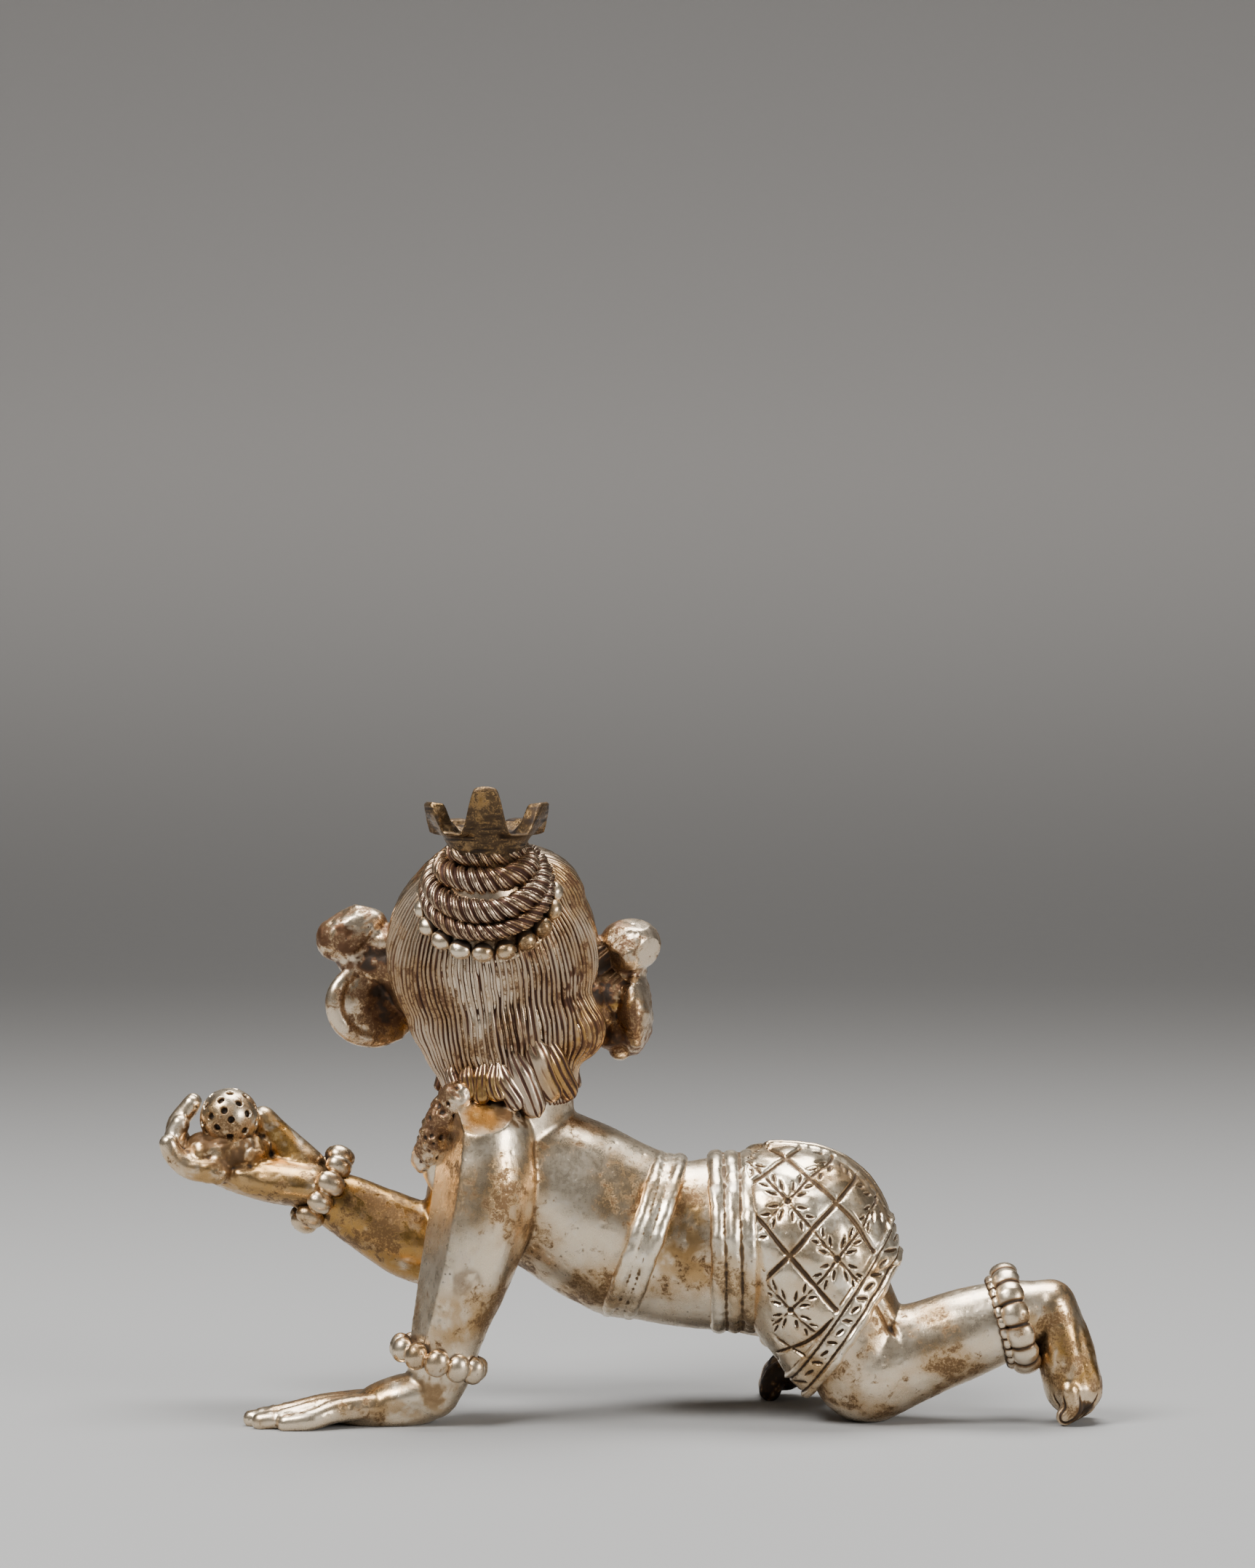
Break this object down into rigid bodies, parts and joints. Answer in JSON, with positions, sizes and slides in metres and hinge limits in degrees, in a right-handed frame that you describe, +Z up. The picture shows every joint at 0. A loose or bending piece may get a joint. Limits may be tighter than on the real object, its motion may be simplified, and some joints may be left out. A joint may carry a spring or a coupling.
{
  "type": "ganesha statue",
  "caption": "Small cast silver figure of a crawling child Ganesha, head turned aside, one palm on the floor and a sweet ball held out in the other.",
  "frame": {"origin": "centre of the bounding box's underside, on the floor that the figure stands on", "axes": "-X is the way the figure crawls, +Y is the side its face looks to, +Z up"},
  "size_m": [0.0748, 0.0226, 0.0502],
  "materials": {
    "ganesha_statue": "worn polished silver with brown tarnish in the carving"
  },
  "bodies": {
    "root": {"ganesha_statue": "ganesha_statue"}
  },
  "joints": []
}
